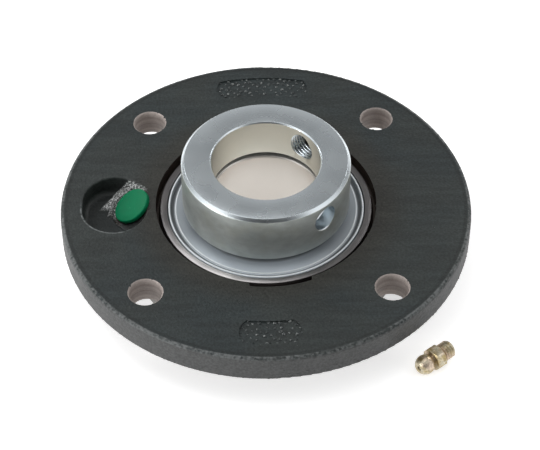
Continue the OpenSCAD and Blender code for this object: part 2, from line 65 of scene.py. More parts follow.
def srgb(red, green, blue):
    """A colour as it looks on a screen, from 0 to 255, as the linear colour that shaders take."""
    parts = [c / 255 for c in (red, green, blue)]
    return tuple(c / 12.92 if c <= 0.04045 else ((c + 0.055) / 1.055) ** 2.4 for c in parts) + (1.0,)


class Nodes:
    """A node tree that is filled node by node."""

    def __init__(self, tree):
        self.tree = tree

    def put(self, socket, value):
        """Links a socket to an input, or sets a plain value on it."""
        if isinstance(value, bpy.types.NodeSocket):
            self.tree.links.new(value, socket)
        else:
            socket.default_value = value

    def add(self, kind, inputs, output=0, **settings):
        """Adds a node, fills its inputs by name or number and returns one of its outputs."""
        made = self.tree.nodes.new(kind)
        for key, value in settings.items():
            setattr(made, key, value)
        for key, value in inputs.items():
            self.put(made.inputs[key], value)
        return made.outputs[output]

    def math(self, operation, first, second=0.0):
        return self.add("ShaderNodeMath", {0: first, 1: second}, operation=operation)

    def times(self, first, *others):
        """The product of several patterns."""
        for other in others:
            first = self.math("MULTIPLY", first, other)
        return first

    def reach(self, vector, direction):
        """How far a vector goes in a direction."""
        return self.add("ShaderNodeVectorMath", {0: vector, 1: direction}, "Value", operation="DOT_PRODUCT")

    def ramp(self, value, low, high, start=0.0, end=1.0, bend="LINEAR"):
        """Goes from start to end while the value goes from low to high."""
        return self.add("ShaderNodeMapRange", {"Value": value, "From Min": low, "From Max": high, "To Min": start,
                                               "To Max": end}, interpolation_type=bend)


class Finish(Nodes):
    """A procedural material. Its patterns read Object coordinates, and its sizes are in metres."""

    def __init__(self, name, **sockets):
        self.material = bpy.data.materials.new(name)
        self.material.use_nodes = True
        super().__init__(self.material.node_tree)
        self.shader = self.tree.nodes["Principled BSDF"]
        self.place = self.tree.nodes.new("ShaderNodeTexCoord").outputs["Object"]
        for socket, value in sockets.items():
            self.put(self.shader.inputs[socket.replace("_", " ")], value)

    def noise(self, size, detail=3.0, stretch=(1, 1, 1)):
        """Soft noise between about 0.25 and 0.75 whose grains have that size."""
        place = self.add("ShaderNodeMapping", {"Vector": self.place, "Scale": stretch})
        return self.add("ShaderNodeTexNoise", {"Vector": place, "Scale": 1 / size, "Detail": detail})

    def step(self, value, low, high):
        """0 where the value is at low, 1 where it is at high, and smooth between."""
        return self.ramp(value, low, high, bend="SMOOTHSTEP")

    def mix(self, factor, first, second):
        return self.add("ShaderNodeMix", {0: factor, 6: first, 7: second}, 2, data_type="RGBA")

    def shade(self, colour, factor, dark, light):
        """The colour, from dark to light times as bright as the factor goes from 0 to 1."""
        amount = self.ramp(factor, 0, 1, dark, light)
        grey = self.add("ShaderNodeCombineColor", {0: amount, 1: amount, 2: amount})
        return self.add("ShaderNodeMix", {0: 1.0, 6: colour, 7: grey}, 2, data_type="RGBA", blend_type="MULTIPLY")

    def across(self):
        """The place, without its height along the shaft axis."""
        return self.add("ShaderNodeVectorMath", {0: self.place, 1: (1, 1, 0)}, operation="MULTIPLY")

    def axis_distance(self):
        """Distance from the shaft axis."""
        return self.add("ShaderNodeVectorMath", {0: self.across()}, 1, operation="LENGTH")

    def towards(self, angle):
        """1 on the side of the shaft axis at that angle, and -1 on the opposite side."""
        outwards = self.add("ShaderNodeVectorMath", {0: self.across()}, operation="NORMALIZE")
        return self.reach(outwards, (math.cos(math.radians(angle)), math.sin(math.radians(angle)), 0))

    def off_circle(self, radius):
        """Distance, in or out, from a circle around the shaft axis."""
        return self.math("ABSOLUTE", self.math("SUBTRACT", self.axis_distance(), radius))

    def ring_line(self, radius, half_width):
        """1 on a thin circle around the shaft axis, and 0 beside it."""
        return self.step(self.off_circle(radius), half_width, 0.4 * half_width)

    def along(self, axis):
        """The coordinate along X, Y or Z, as axis 0, 1 or 2."""
        return self.add("ShaderNodeSeparateXYZ", {0: self.place}, axis)

    def rings(self, spacing, detail=2.0):
        """Uneven lines around the shaft axis, such as a lathe tool leaves on a face."""
        along = self.math("ADD", self.axis_distance(), self.along(2))
        return self.add("ShaderNodeTexNoise", {"W": along, "Scale": 1 / spacing, "Detail": detail},
                        noise_dimensions="1D")

    def bump(self, *layers):
        """Raises the surface by the sum of (pattern, height in metres) layers."""
        normal = None
        for pattern, height in layers:
            inputs = {"Strength": 1.0, "Distance": height, "Height": pattern}
            if normal is not None:
                inputs["Normal"] = normal
            normal = self.add("ShaderNodeBump", inputs)
        self.put(self.shader.inputs["Normal"], normal)

    def colour(self, value):
        self.put(self.shader.inputs["Base Color"], value)

    def roughness(self, pattern, low, high):
        self.put(self.shader.inputs["Roughness"], self.ramp(pattern, 0, 1, low, high))


def painted_iron():
    """Satin paint over sand-cast iron: mottled, browner around the bearing, and light on the upper rim from wear and a
    painted highlight.
    A painted shade line runs inside the rim, the side wall is painted lighter where light falls on it, the paint is
    painted darker as shade in the lubrication pocket, and it is torn to bright grains beside the spot face there."""
    paint = Finish("painted_iron", Specular_IOR_Level=0.35)
    patches = paint.step(paint.noise(26 * mm), 0.38, 0.62)
    colour = paint.mix(patches, srgb(37, 44, 45), srgb(41, 46, 45))
    near_seat = paint.step(paint.axis_distance(), seat_mouth_r + 11 * mm, seat_mouth_r - 0.5 * mm)
    colour = paint.mix(near_seat, colour, srgb(41, 41, 37))
    grain = paint.noise(0.8 * mm, 4)
    colour = paint.shade(colour, paint.step(grain, 0.3, 0.7), 0.72, 1.28)
    strokes = paint.noise(2.2 * mm, 3, (0.16, 1, 1))
    colour = paint.shade(colour, paint.step(strokes, 0.35, 0.65), 0.85, 1.15)
    flecks = paint.step(paint.noise(0.6 * mm, 2), 0.74, 0.77)
    colour = paint.mix(paint.times(flecks, 0.6), colour, srgb(118, 120, 116))

    # Painted shade: a dark line just inside the rim stands for the shade of a shallow groove.
    inside_rim = paint.off_circle(flange_r - 1.9 * mm)
    colour = paint.shade(colour, paint.step(inside_rim, 0.3 * mm, 0.8 * mm), 0.7, 1.0)
    # Painted light: the side wall is a lighter neutral grey than the top, standing for the light that falls on it.
    wall = paint.step(paint.axis_distance(), flange_r - 0.4 * mm, flange_r - 0.1 * mm)
    colour = paint.mix(wall, colour, paint.shade(srgb(71, 72, 72), paint.step(grain, 0.3, 0.7), 0.75, 1.25))
    # The upper rim goes light in patches: partly wear, partly a painted highlight along its rounded edge.
    rim = paint.times(paint.step(paint.axis_distance(), flange_r - 1.4 * mm, flange_r - 0.9 * mm),
                      paint.step(paint.along(2), flange_top - 1.1 * mm, flange_top - 0.5 * mm))
    wear = paint.math("ADD", paint.noise(1.0 * mm, 4), paint.times(paint.noise(15 * mm), 0.7))
    colour = paint.mix(paint.times(rim, paint.step(wear, 0.66, 1.02)), colour, srgb(98, 101, 101))

    beside = paint.math("SUBTRACT", paint.math("ABSOLUTE", paint.along(1)), pocket_straight)
    to_pocket = paint.add("ShaderNodeCombineXYZ", {0: paint.math("SUBTRACT", paint.along(0), pocket_x),
                                                   1: paint.math("MAXIMUM", beside, 0.0)})
    from_pocket = paint.add("ShaderNodeVectorMath", {0: to_pocket}, 1, operation="LENGTH")
    in_pocket = paint.times(paint.step(from_pocket, pocket_r + 0.1 * mm, pocket_r - 0.3 * mm),
                            paint.step(paint.along(2), flange_top - 0.1 * mm, flange_top - 1.0 * mm))
    # Painted shade: the paint is darker inside the lubrication pocket.
    colour = paint.shade(colour, in_pocket, 1.0, 0.65)
    over_edge = paint.reach(paint.place, (0.706, -0.469, -0.531))
    torn = paint.times(paint.step(over_edge, -42.6 * mm, -42.0 * mm), paint.step(paint.along(1), 3 * mm, 6 * mm))
    torn_grain = paint.step(paint.noise(0.5 * mm, 4), 0.42, 0.62)
    colour = paint.mix(paint.times(torn, in_pocket), colour,
                       paint.mix(torn_grain, srgb(70, 72, 72), srgb(226, 228, 228)))
    off_lip = paint.math("ABSOLUTE", paint.math("SUBTRACT", from_pocket, pocket_r))
    lip = paint.times(paint.step(off_lip, 0.34 * mm, 0.14 * mm), paint.step(paint.along(0), -43 * mm, -48 * mm),
                      paint.step(paint.along(1), 2 * mm, -3 * mm),
                      paint.step(paint.along(2), flange_top - 0.8 * mm, flange_top - 0.4 * mm),
                      paint.step(paint.noise(1.6 * mm, 3), 0.3, 0.62))
    paint.colour(paint.mix(lip, colour, srgb(112, 116, 116)))
    paint.roughness(paint.noise(5 * mm), 0.42, 0.62)
    paint.bump((paint.noise(9 * mm, 2), 0.3 * mm), (paint.noise(1.6 * mm, 3), 0.1 * mm), (grain, 0.09 * mm))
    return paint.material


def worn_paint():
    """The same paint on the raised grains of the pads, rubbed through to light specks."""
    paint = Finish("worn_paint", Specular_IOR_Level=0.4, Roughness=0.45)
    specks = paint.step(paint.noise(0.7 * mm, 3), 0.5, 0.66)
    paint.colour(paint.mix(specks, srgb(42, 47, 48), srgb(124, 127, 126)))
    return paint.material


def cut_iron():
    """Bare iron in the drilled holes: rough, brownish grey, with tool lines and bright torn grains."""
    iron = Finish("cut_iron", Metallic=0.1)
    grain = iron.noise(0.5 * mm, 4)
    tool = iron.add("ShaderNodeTexNoise", {"W": iron.along(2), "Scale": 1 / (1.3 * mm), "Detail": 2.0},
                    noise_dimensions="1D")
    colour = iron.mix(iron.step(tool, 0.35, 0.65), srgb(154, 144, 139), srgb(180, 170, 165))
    iron.colour(iron.shade(colour, grain, 0.7, 1.3))
    iron.roughness(grain, 0.4, 0.6)
    iron.bump((grain, 0.1 * mm), (tool, 0.1 * mm))
    return iron.material


def milled_iron():
    """The plug's spot face and its wall: light iron torn into bright and dark grains, oily towards the bearing."""
    iron = Finish("milled_iron", Metallic=0.25)
    grain = iron.step(iron.noise(0.5 * mm, 4), 0.42, 0.62)
    fresh = iron.times(iron.step(iron.along(0), -42 * mm, -46 * mm), iron.step(iron.along(1), -1 * mm, 3.5 * mm))
    fresh = iron.math("MAXIMUM", fresh, iron.step(iron.along(1), 6 * mm, 9 * mm))
    iron.colour(iron.mix(fresh, srgb(52, 48, 45), iron.mix(grain, srgb(82, 84, 84), srgb(232, 234, 234))))
    iron.roughness(grain, 0.36, 0.6)
    iron.bump((grain, 0.16 * mm))
    return iron.material


def seat_iron():
    """The bored seat and its mouth: dark, with a brown film of oil."""
    seat = Finish("seat_iron", Metallic=0.3)
    smear = seat.noise(4 * mm, 4)
    seat.colour(seat.mix(smear, srgb(30, 27, 25), srgb(66, 54, 46)))
    seat.roughness(smear, 0.3, 0.5)
    seat.bump((seat.rings(0.6 * mm), 0.05 * mm))
    return seat.material


def turned_iron():
    """The faced back and the turned spigot: grey iron with tool lines, lightly oiled."""
    back = Finish("turned_iron", Metallic=0.85)
    lines = back.rings(0.5 * mm)
    stain = back.noise(14 * mm, 4)
    colour = back.mix(stain, srgb(120, 120, 118), srgb(142, 139, 134))
    back.colour(back.shade(colour, lines, 0.8, 1.2))
    back.roughness(lines, 0.3, 0.5)
    back.bump((lines, 0.06 * mm), (back.noise(0.7 * mm), 0.03 * mm))
    return back.material


def welded(node):
    """A copy of a CAD node's mesh, with its loose triangles merged and its flat faces joined."""
    work = bmesh.new()
    work.from_mesh(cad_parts[node].data)
    bmesh.ops.remove_doubles(work, verts=work.verts, dist=touching)
    bmesh.ops.dissolve_degenerate(work, edges=work.edges, dist=touching)
    bmesh.ops.dissolve_limit(work, angle_limit=math.radians(0.3), verts=work.verts, edges=work.edges)
    return work


def piece_from(name, work, *materials):
    """Makes an object of a working mesh, at the origin."""
    mesh = bpy.data.meshes.new(name)
    work.to_mesh(mesh)
    work.free()
    for layer in ("custom_normal", "sharp_edge", "sharp_face"):
        if layer in mesh.attributes:
            mesh.attributes.remove(mesh.attributes[layer])
    for material in materials:
        mesh.materials.append(material)
    piece = bpy.data.objects.new(name, mesh)
    bpy.context.scene.collection.objects.link(piece)
    return piece


def smooth(piece, angle=32):
    """Rounds the shading, except over edges that turn by more than the angle."""
    piece.data.polygons.foreach_set("use_smooth", [True] * len(piece.data.polygons))
    piece.data.set_sharp_from_angle(angle=math.radians(angle))
    return piece


def settled(piece):
    """Turns a piece's modifiers into plain mesh."""
    bpy.context.view_layer.update()
    graph = bpy.context.evaluated_depsgraph_get()
    mesh = bpy.data.meshes.new_from_object(piece.evaluated_get(graph))
    piece.modifiers.clear()
    worn_out, piece.data = piece.data, mesh
    bpy.data.meshes.remove(worn_out)
    mesh.name = piece.name
    return piece


def broken_edges(piece, width, angle=40):
    """Rounds every sharp edge of a piece by a small width."""
    bevel = piece.modifiers.new("broken edges", "BEVEL")
    bevel.width = width
    bevel.segments = 2
    bevel.limit_method = "ANGLE"
    bevel.angle_limit = math.radians(angle)
    return smooth(settled(piece))


class Grower(Nodes):
    """A geometry-nodes tree with named inputs that ends in real faces with a material."""

    def __init__(self, name, **inputs):
        super().__init__(bpy.data.node_groups.new(name, "GeometryNodeTree"))
        for label, kind in inputs.items():
            self.tree.interface.new_socket(label, in_out="INPUT", socket_type="NodeSocket" + kind)
        self.tree.interface.new_socket("Mesh", in_out="OUTPUT", socket_type="NodeSocketGeometry")
        self.sizes = self.tree.nodes.new("NodeGroupInput").outputs

    def end(self, geometry):
        """Closes the tree with real faces in its material."""
        real = self.add("GeometryNodeRealizeInstances", {0: geometry})
        coated = self.add("GeometryNodeSetMaterial", {"Geometry": real, "Material": self.sizes["Material"]})
        self.put(self.tree.nodes.new("NodeGroupOutput").inputs["Mesh"], coated)
        return self

    def grow(self, name, mesh=None, place=Matrix(), **sizes):
        """Runs the tree on a mesh with these sizes and leaves its result as a plain mesh at its place."""
        piece = bpy.data.objects.new(name, mesh or bpy.data.meshes.new(name))
        bpy.context.scene.collection.objects.link(piece)
        maker = piece.modifiers.new(self.tree.name, "NODES")
        maker.node_group = self.tree
        for item in self.tree.interface.items_tree:
            if item.in_out == "INPUT" and item.name in sizes:
                maker[item.identifier] = sizes[item.name]
        settled(piece)
        piece.data.transform(place)
        return piece


def scattered_domes():
    """Geometry nodes that scatter low domes over a mesh, each standing on its face and of its own size."""
    cast = Grower("scattered domes", Mesh="Geometry", Spacing="Float", Size="Float", Height="Float", Detail="Int",
                  Seed="Int", Material="Material")
    sizes = cast.sizes
    thickest = cast.math("DIVIDE", 3.0, cast.math("MULTIPLY", sizes["Spacing"], sizes["Spacing"]))
    points = cast.add("GeometryNodeDistributePointsOnFaces",
                      {"Mesh": sizes["Mesh"], "Distance Min": sizes["Spacing"], "Density Max": thickest,
                       "Seed": sizes["Seed"]}, distribute_method="POISSON")
    dome = cast.add("GeometryNodeMeshIcoSphere", {"Radius": 1.0, "Subdivisions": sizes["Detail"]})
    share = cast.add("FunctionNodeRandomValue", {2: 0.55, 3: 1.0, "Seed": sizes["Seed"]}, 1, data_type="FLOAT")
    width = cast.math("MULTIPLY", sizes["Size"], share)
    scale = cast.add("ShaderNodeCombineXYZ", {0: width, 1: width, 2: cast.math("MULTIPLY", sizes["Height"], share)})
    domes = cast.add("GeometryNodeInstanceOnPoints", {"Points": points, "Instance": dome,
                                                      "Rotation": points.node.outputs["Rotation"], "Scale": scale})
    return cast.end(domes)


def only_faces(piece, wanted):
    """A mesh of just those faces of a piece that a test picks."""
    work = bmesh.new()
    work.from_mesh(piece.data)
    bmesh.ops.delete(work, geom=[face for face in work.faces if not wanted(face)], context="FACES")
    mesh = bpy.data.meshes.new(piece.name + " faces")
    work.to_mesh(mesh)
    work.free()
    return mesh


def joined(piece, other, slot):
    """Adds the mesh of another piece to a piece, in one of its material slots, and removes that other piece."""
    work = bmesh.new()
    work.from_mesh(piece.data)
    own = len(work.faces)
    work.from_mesh(other.data)
    work.faces.ensure_lookup_table()
    for face in work.faces[own:]:
        face.material_index = slot
    bpy.data.objects.remove(other)
    work.to_mesh(piece.data)
    work.free()


casting = welded("flange_housing")
on_paint, on_holes, on_seat, on_back, on_spot, on_pads = range(6)
to_plug = plug_frame.inverted()
near = 0.05 * mm
for face in casting.faces:
    centre = face.calc_center_median()
    from_axis = math.hypot(centre.x, centre.y)
    from_bolt = math.hypot(abs(centre.x) - bolt_place, abs(centre.y) - bolt_place)
    from_plug = to_plug @ centre
    beside_plug = math.hypot(from_plug.x, from_plug.y)
    spot_floor = abs(from_plug.z) < near and beside_plug < spot_r
    spot_wall = abs(beside_plug - spot_r) < near and from_plug.x > (-6 * mm if from_plug.y < 0 else -3 * mm)
    over_far_floor = math.cos(far_fall) * (from_plug.z - floor_lift) - math.sin(far_fall) * from_plug.y
    from_pocket = math.hypot(centre.x - pocket_x, max(abs(centre.y) - pocket_straight, 0))
    far_floor = abs(over_far_floor) < near and from_pocket < pocket_r
    if from_bolt < bolt_r + 0.6 * mm:
        face.material_index = on_holes
    elif centre.z < near:
        face.material_index = on_back if from_axis > seat_mouth_r else on_seat
    elif spot_floor or spot_wall or far_floor:
        face.material_index = on_spot
    elif from_axis < seat_mouth_r and centre.z < flange_top - near:
        face.material_index = on_seat
paint_finish, worn_finish = painted_iron(), worn_paint()
flange = piece_from("flange", casting, paint_finish, cut_iron(), seat_iron(), turned_iron(), milled_iron(), worn_finish)
broken_edges(flange, 0.2 * mm)


def in_pad(face):
    return face.normal.z > 0.99 and abs(face.calc_center_median().z - pad_floor) < 0.02 * mm


domes = scattered_domes()
cast_skin = only_faces(flange, lambda face: face.material_index == on_paint and not in_pad(face))
sand = domes.grow("sand", cast_skin, Spacing=1.15 * mm, Size=0.44 * mm, Height=0.06 * mm, Detail=1, Seed=4,
                  Material=paint_finish)
stipple = domes.grow("stipple", only_faces(flange, in_pad), Spacing=1.5 * mm, Size=0.66 * mm, Height=0.42 * mm,
                     Detail=2, Seed=9, Material=worn_finish)
joined(flange, sand, on_paint)
joined(flange, stipple, on_pads)
smooth(flange)
flange.modifiers.new("flat faces stay flat", "WEIGHTED_NORMAL").keep_sharp = True
settled(flange)
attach(flange, "housing")
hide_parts("flange_housing")

# Outer ring: hardened bearing steel, ground spherical outside so that it can tilt in its seat.
# Only its narrow front face shows, between the seat's dark gap and the seal.


def ground_steel():
    """Ground bearing steel with fine lines around the axis, greyish brown under its oil, painted lighter on one side
    and darker on the rest.
    """
    steel = Finish("ground_steel", Metallic=1.0)
    lines = steel.rings(0.25 * mm)
    stain = steel.noise(7 * mm, 4)
    colour = steel.mix(stain, srgb(144, 141, 142), srgb(178, 175, 175))
    colour = steel.shade(colour, lines, 0.85, 1.15)
    # Painted light and shade: the face is lighter on the side towards 243 degrees and darker elsewhere; it turns with
    # the ring.
    steel.colour(steel.shade(colour, steel.step(steel.towards(243), 0.6, 1.0), 0.5, 1.4))
    steel.roughness(lines, 0.28, 0.42)
    steel.bump((lines, 0.02 * mm))
    return steel.material


outer_ring = piece_from("outer_ring_ground", welded("outer_ring"), ground_steel())
broken_edges(outer_ring, 0.15 * mm)
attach(outer_ring, "insert")
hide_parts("outer_ring")

# Balls: nine lapped steel balls, loose between the grooves of the two rings.
# They keep their solids and get a mirror finish with a faint haze of grease.


def lapped_steel():
    ball = Finish("lapped_steel", Metallic=1.0)
    haze = ball.noise(2.2 * mm, 4)
    ball.colour(ball.mix(haze, srgb(196, 197, 200), srgb(216, 216, 217)))
    ball.roughness(haze, 0.05, 0.16)
    return ball.material


def dress(material, *nodes):
    """Gives CAD nodes a material and leaves their solids as they are."""
    for name in nodes:
        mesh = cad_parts[name].data
        mesh.materials.clear()
        mesh.materials.append(material)


ball_finish = lapped_steel()
dress(ball_finish, *["ball_%d" % (index + 1) for index in range(9)])

# Cage: two pressed ribbons of bright sheet steel around the balls, held together by nine rivets.
# It stays hidden between the seals.


def pressed_steel():
    sheet = Finish("pressed_steel", Metallic=1.0)
    drawn = sheet.noise(1.4 * mm, 4)
    sheet.colour(sheet.mix(drawn, srgb(158, 158, 156), srgb(190, 190, 188)))
    sheet.roughness(drawn, 0.24, 0.4)
    sheet.bump((drawn, 0.02 * mm))
    return sheet.material


cage_finish = pressed_steel()
dress(cage_finish, "cage_front_half", "cage_rear_half", "cage_rivets")

# Inner ring: hardened steel with a ground bore for the shaft and an eccentric cam at its front end.
# Its bright bore is what shows deep inside the collar.


def honed_steel():
    """Fine ground steel, pale and slightly warm."""
    bore = Finish("honed_steel", Metallic=0.6)
    cloud = bore.noise(14 * mm, 2)
    bore.colour(bore.mix(cloud, srgb(237, 231, 225), srgb(244, 240, 234)))
    bore.roughness(cloud, 0.3, 0.36)
    return bore.material


inner_ring = piece_from("inner_ring_honed", welded("inner_ring"), honed_steel())
broken_edges(inner_ring, 0.12 * mm)
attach(inner_ring, "shaft_ring")
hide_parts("inner_ring")

# Seals: on both sides a zinc-plated washer with a rolled rim, a rubber lip and a flat backing washer.
# The washers are pressed from sheet, so every bend is round.


def filleted(corners, steps=5):
    """The outline through (radius, height, rounding) corners in millimetres, as a loop of points in metres."""
    loop = []
    for i, (r, z, rounding) in enumerate(corners):
        here = Vector((r, z))
        before = (Vector(corners[i - 1][:2]) - here).normalized()
        after = (Vector(corners[(i + 1) % len(corners)][:2]) - here).normalized()
        opening = before.angle(after)
        if rounding == 0 or opening > math.pi - 0.01:
            loop.append(here * mm)
            continue
        middle = here + (before + after).normalized() * rounding / math.sin(opening / 2)
        start = here + before * rounding / math.tan(opening / 2) - middle
        sweep = start.angle_signed(here + after * rounding / math.tan(opening / 2) - middle)
        for k in range(steps + 1):
            turn = Matrix.Rotation(-sweep * k / steps, 2)
            loop.append((middle + turn @ start) * mm)
    return loop


def turned(name, loop, material, place=Matrix(), steps=180):
    """Turns a closed outline of (radius, height) points around Z and moves the solid to its place."""
    work = bmesh.new()
    rows = []
    for s in range(steps):
        angle = 2 * math.pi * s / steps
        rows.append([work.verts.new((p.x * math.cos(angle), p.x * math.sin(angle), p.y)) for p in loop])
    for s in range(steps):
        here, beside = rows[s], rows[(s + 1) % steps]
        for k in range(len(loop)):
            n = (k + 1) % len(loop)
            if loop[k].x > 1e-7 or loop[n].x > 1e-7:
                work.faces.new((here[k], beside[k], beside[n], here[n]))
    bmesh.ops.remove_doubles(work, verts=work.verts, dist=1e-7)
    bmesh.ops.dissolve_degenerate(work, edges=work.edges, dist=1e-7)
    bmesh.ops.recalc_face_normals(work, faces=work.faces)
    work.transform(place)
    return smooth(piece_from(name, work, material))


def zinc_sheet():
    """Bluish bright zinc on pressed sheet, with faint clouds and fine lines around the shaft; painted shade in the
    groove of the rim and under the collar, painted light on one side, and a painted highlight on each round bend.
    """
    zinc = Finish("zinc_sheet", Metallic=0.3)
    cloud = zinc.noise(8 * mm, 4)
    lines = zinc.rings(0.3 * mm)
    colour = zinc.mix(cloud, srgb(196, 206, 214), srgb(212, 220, 227))
    colour = zinc.shade(colour, lines, 0.94, 1.06)
    valley_r, inner_bend_r, outer_bend_r, bend_width = 30.85 * mm, 29.85 * mm, 31.9 * mm, 0.3 * mm
    # Painted shade: the groove between the rolled rim and the flat is darker.
    valley_shade = zinc.step(zinc.off_circle(valley_r), 0.62 * mm, 0.36 * mm)
    colour = zinc.mix(valley_shade, colour, srgb(120, 125, 129))
    # Painted shadow: the washer goes dark towards the shaft, where it lies under the collar.
    colour = zinc.shade(colour, zinc.step(zinc.axis_distance(), 24.2 * mm, 25.6 * mm), 0.3, 1.0)
    # Painted light and shade: brightest on the side towards 260 degrees and darker round the rest; it turns with the
    # washer.
    colour = zinc.shade(colour, zinc.step(zinc.towards(260), 0.5, 0.95), 0.5, 0.95)
    # Painted highlights: thin bright lines on the two round bends of the rim.
    bend_highlights = zinc.math("MAXIMUM", zinc.ring_line(inner_bend_r, bend_width), zinc.ring_line(outer_bend_r, bend_width))
    zinc.colour(zinc.mix(zinc.times(bend_highlights, 0.75), colour, srgb(236, 240, 242)))
    zinc.roughness(cloud, 0.42, 0.52)
    zinc.bump((lines, 0.008 * mm))
    return zinc.material


def nitrile():
    rubber = Finish("nitrile_rubber", Roughness=0.6)
    skin = rubber.noise(0.4 * mm, 3)
    rubber.colour(rubber.mix(skin, srgb(22, 22, 23), srgb(38, 38, 38)))
    rubber.bump((skin, 0.03 * mm))
    return rubber.material


zinc_finish = zinc_sheet()
washer_outline = filleted([
    (23.394, 6.85, 0.1), (23.394, 7.3, 0.16), (30.024, 7.3, 0.3), (30.024, 6.85, 0.12), (31.424, 6.85, 0.26),
    (31.424, 8.0, 0.43), (32.3, 8.0, 0.43), (32.3, 6.4, 0.26), (29.574, 6.4, 0.26), (29.574, 6.85, 0.09)])
seat_height = -1.5 * mm
to_rear = Matrix.Translation((0, 0, 2 * seat_height)) @ Matrix.Scale(-1, 4, (0, 0, 1))
for side, place in (("front", Matrix()), ("rear", to_rear)):
    washer = turned(side + "_washer_pressed", washer_outline, zinc_finish, place)
    if side == "rear":
        washer.data.flip_normals()
    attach(washer, "insert")
    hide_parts(side + "_seal_washer")
dress(zinc_finish, "front_seal_backing", "rear_seal_backing")
dress(nitrile(), "front_seal_lip", "rear_seal_lip")

# Locking collar: turned from bar and zinc plated. An eccentric recess in its back grips the inner ring's cam.
# One hole is tapped through for the set screw, and a blind drilled hole takes a spanner's pin.
collar_low, collar_top, collar_r, bore_r = 10.9, 28.6, 27.4, 17.65
recess_r, recess_top, recess_shift, recess_angle = 22.144, 15.1, 0.7 * mm, math.radians(120)
hole_height = 21.85 * mm
screw_angle, spanner_angle = 46, -47.5
thread_pitch = 1.1 * mm


def zinc_collar():
    """Bluish zinc on turned steel: satin lines, smoother on the faced top than on the side."""
    zinc = Finish("zinc_collar", Metallic=1.0)
    cloud = zinc.noise(10 * mm, 3)
    lines = zinc.rings(0.22 * mm)
    colour = zinc.mix(cloud, srgb(205, 214, 219), srgb(219, 226, 230))
    side = zinc.step(zinc.axis_distance(), (collar_r - 0.2) * mm, (collar_r - 0.02) * mm)
    dull = zinc.mix(cloud, srgb(176, 184, 182), srgb(206, 209, 205))
    dull = zinc.mix(zinc.step(zinc.noise(7 * mm, 3), 0.46, 0.7), dull, srgb(186, 190, 184))
    dull = zinc.shade(dull, zinc.step(zinc.noise(3.2 * mm, 4, (1, 1, 1.6)), 0.3, 0.7), 0.93, 1.06)
    colour = zinc.mix(side, colour, dull)
    zinc.colour(zinc.shade(colour, lines, 0.94, 1.06))
    zinc.roughness(zinc.math("ADD", zinc.times(cloud, 0.1), zinc.times(side, 0.2)), 0.22, 1.22)
    zinc.bump((lines, 0.008 * mm))
    return zinc.material


def oiled_zinc():
    """The collar's bore: the same zinc under a warm film of oil, with painted shade that darkens it away from one side.
    """
    zinc = Finish("oiled_zinc", Metallic=0.8)
    film = zinc.noise(9 * mm, 3)
    colour = zinc.mix(film, srgb(212, 213, 202), srgb(228, 226, 216))
    # Painted shade: the bore is darker except on the side towards 85 degrees; it turns with the collar.
    zinc.colour(zinc.shade(colour, zinc.step(zinc.towards(85), 0.0, 0.75), 0.6, 1.0))
    zinc.roughness(film, 0.3, 0.4)
    return zinc.material


def drilled_zinc():
    """The drilled spanner hole: bright and smooth, so that it mirrors light and dark sharply."""
    zinc = Finish("drilled_zinc", Metallic=1.0)
    cloud = zinc.noise(2 * mm, 3)
    zinc.colour(zinc.mix(cloud, srgb(166, 168, 154), srgb(200, 201, 188)))
    zinc.roughness(cloud, 0.1, 0.22)
    return zinc.material


def tapped_zinc():
    """The tapped hole: darker, with oil between the threads."""
    zinc = Finish("tapped_zinc", Metallic=1.0)
    oil = zinc.noise(0.8 * mm, 3)
    zinc.colour(zinc.mix(oil, srgb(132, 132, 126), srgb(184, 184, 178)))
    zinc.roughness(oil, 0.2, 0.34)
    return zinc.material


def screw_thread():
    """Geometry nodes for a threaded rod along Z: a cylinder whose wall is pressed in along a helix."""
    rod = Grower("screw thread", Radius="Float", Depth="Float", Pitch="Float", Length="Float", Chamfer="Float",
                 Sides="Int", Rows="Int", Material="Material")
    sizes = rod.sizes
    blank = rod.add("GeometryNodeMeshCylinder", {"Vertices": sizes["Sides"], "Side Segments": sizes["Rows"],
                                                 "Radius": sizes["Radius"], "Depth": sizes["Length"]},
                    fill_type="TRIANGLE_FAN")
    x = rod.add("ShaderNodeSeparateXYZ", {0: rod.add("GeometryNodeInputPosition", {})})
    y, z = x.node.outputs[1], x.node.outputs[2]
    turn = rod.math("DIVIDE", rod.math("ARCTAN2", y, x), 2 * math.pi)
    phase = rod.math("FRACT", rod.math("SUBTRACT", rod.math("DIVIDE", z, sizes["Pitch"]), turn))
    flank = rod.math("ABSOLUTE", rod.math("SUBTRACT", rod.math("MULTIPLY", phase, 2.0), 1.0))
    crest = rod.ramp(flank, 0.12, 0.88)
    groove = rod.math("MULTIPLY", rod.math("SUBTRACT", 1.0, crest), sizes["Depth"])
    from_end = rod.math("SUBTRACT", rod.math("DIVIDE", sizes["Length"], 2.0), rod.math("ABSOLUTE", z))
    bevelled = rod.math("MAXIMUM", rod.math("SUBTRACT", sizes["Chamfer"], from_end), 0.0)
    inwards = rod.math("MAXIMUM", groove, bevelled)
    shrink = rod.math("SUBTRACT", 1.0, rod.math("DIVIDE", inwards, sizes["Radius"]))
    moved = rod.add("ShaderNodeCombineXYZ", {0: rod.times(x, shrink), 1: rod.times(y, shrink), 2: z})
    return rod.end(rod.add("GeometryNodeSetPosition", {"Geometry": blank, "Position": moved}))


def carved(piece, operation, *tools):
    """Cuts tools from a piece, or joins them to it, and removes the tools."""
    for tool in tools:
        cut = piece.modifiers.new(tool.name, "BOOLEAN")
        cut.operation = operation
        cut.solver = "EXACT"
        cut.object = tool
    settled(piece)
    for tool in tools:
        bpy.data.objects.remove(tool)
    work = bmesh.new()
    work.from_mesh(piece.data)
    bmesh.ops.remove_doubles(work, verts=work.verts, dist=touching)
    bmesh.ops.dissolve_degenerate(work, edges=work.edges, dist=touching)
    work.to_mesh(piece.data)
    work.free()
    return smooth(piece)


def along_radius(angle, radius):
    """A place on the collar with Z pointing outwards along a radius."""
    return (Matrix.Rotation(math.radians(angle), 4, "Z") @ Matrix.Translation((radius * mm, 0, hole_height))
            @ Matrix.Rotation(math.radians(90), 4, "Y"))


